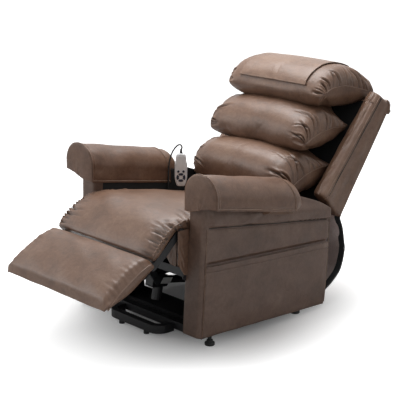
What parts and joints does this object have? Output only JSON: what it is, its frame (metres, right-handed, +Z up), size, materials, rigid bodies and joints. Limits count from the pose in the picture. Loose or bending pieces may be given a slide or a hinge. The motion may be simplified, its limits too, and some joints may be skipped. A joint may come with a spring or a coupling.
{
  "type": "lift recliner chair",
  "caption": "Lift recliner chair in brown leather with arm covers, side pockets, stacked back cushions, swing-up leg rest, black lift base and a corded handset.",
  "frame": {"origin": "on the floor, under the middle of the whole chair as pictured, with the leg rest raised and the back reclined", "axes": "+X to the sitter's left, +Y to the rear, +Z up"},
  "size_m": [0.8, 1.4027, 0.9236],
  "materials": {
    "brown_leather": "brown marbled leather, soft sheen",
    "black_lining": "black woven lining",
    "black_steel": "black powder coat",
    "grey_steel": "grey powder coat",
    "zinc_rod": "bright plated rod",
    "black_rubber": "matt black rubber",
    "black_plastic": "black moulded housing",
    "white_plastic": "off-white moulded shell",
    "button_rubber": "dark blue-grey moulded buttons",
    "plywood": "bare plywood",
    "cable_sheath": "black cable sheath",
    "deck_cloth": "black spring deck cloth"
  },
  "bodies": {
    "base": {"base_rail_left": "black_steel", "base_rail_right": "black_steel", "base_cross_front": "black_steel", "base_cross_rear": "black_steel", "base_pivot_bridge": "black_steel", "base_front_loop": "black_steel", "foot_front_left": "black_rubber", "foot_front_right": "black_rubber", "foot_rear_left": "black_rubber", "foot_rear_right": "black_rubber"},
    "lift_front": {"lift_front_arm_left": "black_steel", "lift_front_arm_right": "black_steel", "lift_torque_tube": "black_steel"},
    "lift_rear": {"lift_rear_arm_left": "black_steel", "lift_rear_arm_right": "black_steel"},
    "chassis": {"seat_side_left": "black_steel", "seat_side_right": "black_steel", "seat_mid_rail": "black_steel", "seat_rear_rail": "black_steel", "seat_front_rail": "grey_steel", "seat_deck": "deck_cloth", "arm_left": "brown_leather", "arm_right": "brown_leather", "arm_cover_left": "brown_leather", "arm_cover_right": "brown_leather", "arm_pocket_left": "brown_leather", "arm_pocket_right": "brown_leather", "seat_cushion": "brown_leather", "back_skirt": "brown_leather", "control_box": "black_plastic", "handset": "white_plastic", "handset_lead": "cable_sheath", "handset_lead_coil": "cable_sheath", "handset_lead_tail": "cable_sheath"},
    "button_memory_left": {"button_memory_left": "button_rubber"},
    "button_memory_right": {"button_memory_right": "button_rubber"},
    "button_right": {"button_right": "button_rubber"},
    "button_up": {"button_up": "button_rubber"},
    "button_left": {"button_left": "button_rubber"},
    "button_down": {"button_down": "button_rubber"},
    "back": {"back_frame": "black_lining", "back_wing_left": "brown_leather", "back_wing_right": "brown_leather", "back_rear_panel": "brown_leather", "back_cushion_low": "brown_leather", "back_cushion_middle": "brown_leather", "head_cushion": "brown_leather", "head_cover": "brown_leather"},
    "leg_frame": {"leg_arm_left": "black_steel", "leg_arm_right": "black_steel", "leg_cross_tube": "black_steel", "leg_pad": "brown_leather"},
    "footrest": {"footrest_pad": "brown_leather", "footrest_board": "plywood"},
    "lift_motor": {"lift_motor": "black_plastic"},
    "lift_rod": {"lift_rod": "zinc_rod"},
    "leg_motor": {"leg_motor": "black_plastic"},
    "leg_rod": {"leg_rod": "zinc_rod"},
    "back_motor": {"back_motor": "black_plastic"},
    "back_rod": {"back_rod": "zinc_rod"}
  },
  "joints": [
    {"name": "lift", "type": "hinge", "parent": "base", "child": "lift_front", "pos_m": [0, -0.18, 0.09], "axis": [1, 0, 0], "range_deg": [0, 50]},
    {"name": "chassis_tilt", "type": "hinge", "parent": "lift_front", "child": "chassis", "pos_m": [0, 0, 0.12], "axis": [1, 0, 0], "range_deg": [-29.16, 0.01]},
    {"name": "lift_rear", "type": "hinge", "parent": "base", "child": "lift_rear", "pos_m": [0, -0.12, 0.09], "axis": [1, 0, 0], "range_deg": [-0.01, 39.56]},
    {"name": "recline", "type": "hinge", "parent": "chassis", "child": "back", "pos_m": [0, 0.26, 0.36], "axis": [-1, 0, 0], "range_deg": [-22, 18], "deforming": ["back_skirt"]},
    {"name": "leg", "type": "hinge", "parent": "chassis", "child": "leg_frame", "pos_m": [0, -0.355, 0.425], "axis": [-1, 0, 0], "range_deg": [-45, 25]},
    {"name": "footrest", "type": "hinge", "parent": "leg_frame", "child": "footrest", "pos_m": [0, -0.476, 0.324], "axis": [-1, 0, 0], "range_deg": [-12.03, 6.68]},
    {"name": "lift_motor_swing", "type": "hinge", "parent": "chassis", "child": "lift_motor", "pos_m": [0, -0.255, 0.165], "axis": [1, 0, 0], "range_deg": [-23.67, 0.01]},
    {"name": "lift_rod_travel", "type": "slide", "parent": "lift_motor", "child": "lift_rod", "axis": [0, 0.9786, -0.2056], "range_m": [-0.0001, 0.08815]},
    {"name": "leg_motor_swing", "type": "hinge", "parent": "chassis", "child": "leg_motor", "pos_m": [0, 0.02, 0.262], "axis": [-1, 0, 0], "range_deg": [-0.46, 0.82]},
    {"name": "leg_rod_travel", "type": "slide", "parent": "leg_motor", "child": "leg_rod", "axis": [0, -0.9866, 0.1634], "range_m": [-0.07283, 0.0405]},
    {"name": "back_motor_swing", "type": "hinge", "parent": "chassis", "child": "back_motor", "pos_m": [0, -0.28, 0.262], "axis": [-1, 0, 0], "range_deg": [-1, 0.82]},
    {"name": "back_rod_travel", "type": "slide", "parent": "back_motor", "child": "back_rod", "axis": [0, 0.9998, -0.0214], "range_m": [-0.03359, 0.04103]},
    {"name": "button_memory_left_press", "type": "slide", "parent": "chassis", "child": "button_memory_left", "axis": [-0.7314, 0.682, 0], "range_m": [0, 0.0012], "stiffness_N_per_m": 600},
    {"name": "button_memory_right_press", "type": "slide", "parent": "chassis", "child": "button_memory_right", "axis": [-0.7314, 0.682, 0], "range_m": [0, 0.0012], "stiffness_N_per_m": 600},
    {"name": "button_right_press", "type": "slide", "parent": "chassis", "child": "button_right", "axis": [-0.7314, 0.682, 0], "range_m": [0, 0.0012], "stiffness_N_per_m": 600},
    {"name": "button_up_press", "type": "slide", "parent": "chassis", "child": "button_up", "axis": [-0.7314, 0.682, 0], "range_m": [0, 0.0012], "stiffness_N_per_m": 600},
    {"name": "button_left_press", "type": "slide", "parent": "chassis", "child": "button_left", "axis": [-0.7314, 0.682, 0], "range_m": [0, 0.0012], "stiffness_N_per_m": 600},
    {"name": "button_down_press", "type": "slide", "parent": "chassis", "child": "button_down", "axis": [-0.7314, 0.682, 0], "range_m": [0, 0.0012], "stiffness_N_per_m": 600}
  ],
  "couplings": [
    {"joint": "chassis_tilt", "follows": "lift", "ratio": -0.583},
    {"joint": "lift_rear", "follows": "lift", "ratio": 0.791},
    {"joint": "footrest", "follows": "leg", "ratio": 0.267},
    {"joint": "lift_motor_swing", "follows": "lift", "ratio": -0.4732},
    {"joint": "lift_rod_travel", "follows": "lift", "m_per_rad": 0.1009},
    {"joint": "leg_motor_swing", "follows": "leg", "ratio": -0.0181},
    {"joint": "leg_rod_travel", "follows": "leg", "m_per_rad": 0.0926},
    {"joint": "back_motor_swing", "follows": "recline", "ratio": 0.0452},
    {"joint": "back_rod_travel", "follows": "recline", "m_per_rad": -0.1066}
  ]
}
